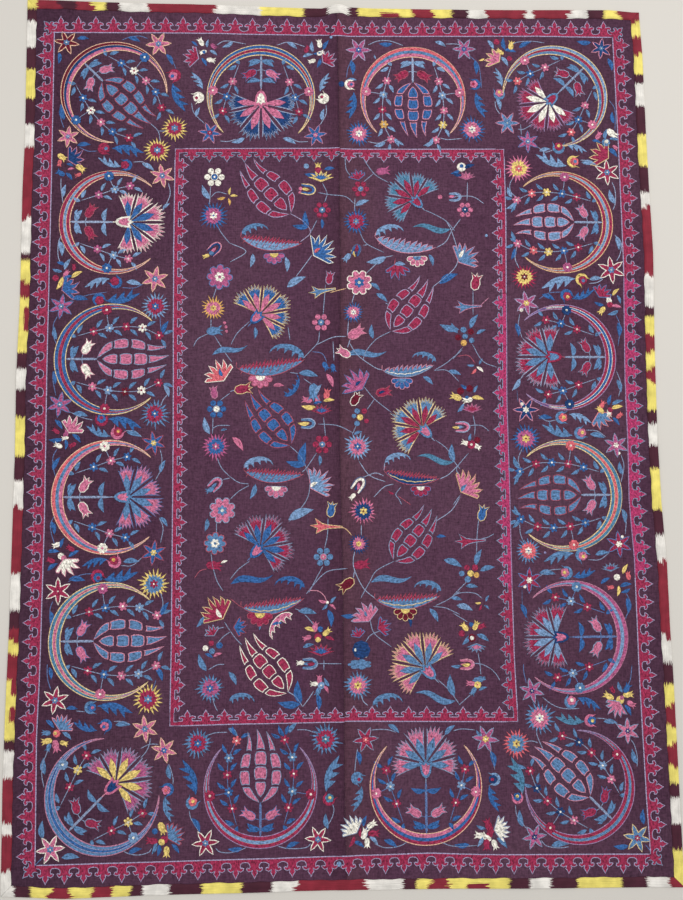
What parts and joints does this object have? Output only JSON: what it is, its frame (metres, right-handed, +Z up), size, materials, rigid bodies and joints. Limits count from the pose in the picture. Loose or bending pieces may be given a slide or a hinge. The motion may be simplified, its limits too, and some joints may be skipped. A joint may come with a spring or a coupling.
{
  "type": "suzani embroidered textile",
  "caption": "Flat two-panel cotton cloth with silk medallion embroidery and a folded tape binding on every edge.",
  "frame": {"origin": "under the middle of the laid cloth, on the surface that it lies on", "axes": "+Z up from the embroidered face, +Y along the length towards the top edge, +X across the width"},
  "size_m": [1.577, 2.161, 0.0068],
  "materials": {
    "cotton": "matte plum cotton with silk embroidery",
    "tape": "matte striped tape in yellow, white, brick red and maroon"
  },
  "bodies": {
    "root": {"panel_left": "cotton", "panel_right": "cotton", "binding_top": "tape", "binding_bottom": "tape", "binding_left": "tape", "binding_right": "tape"}
  },
  "joints": []
}
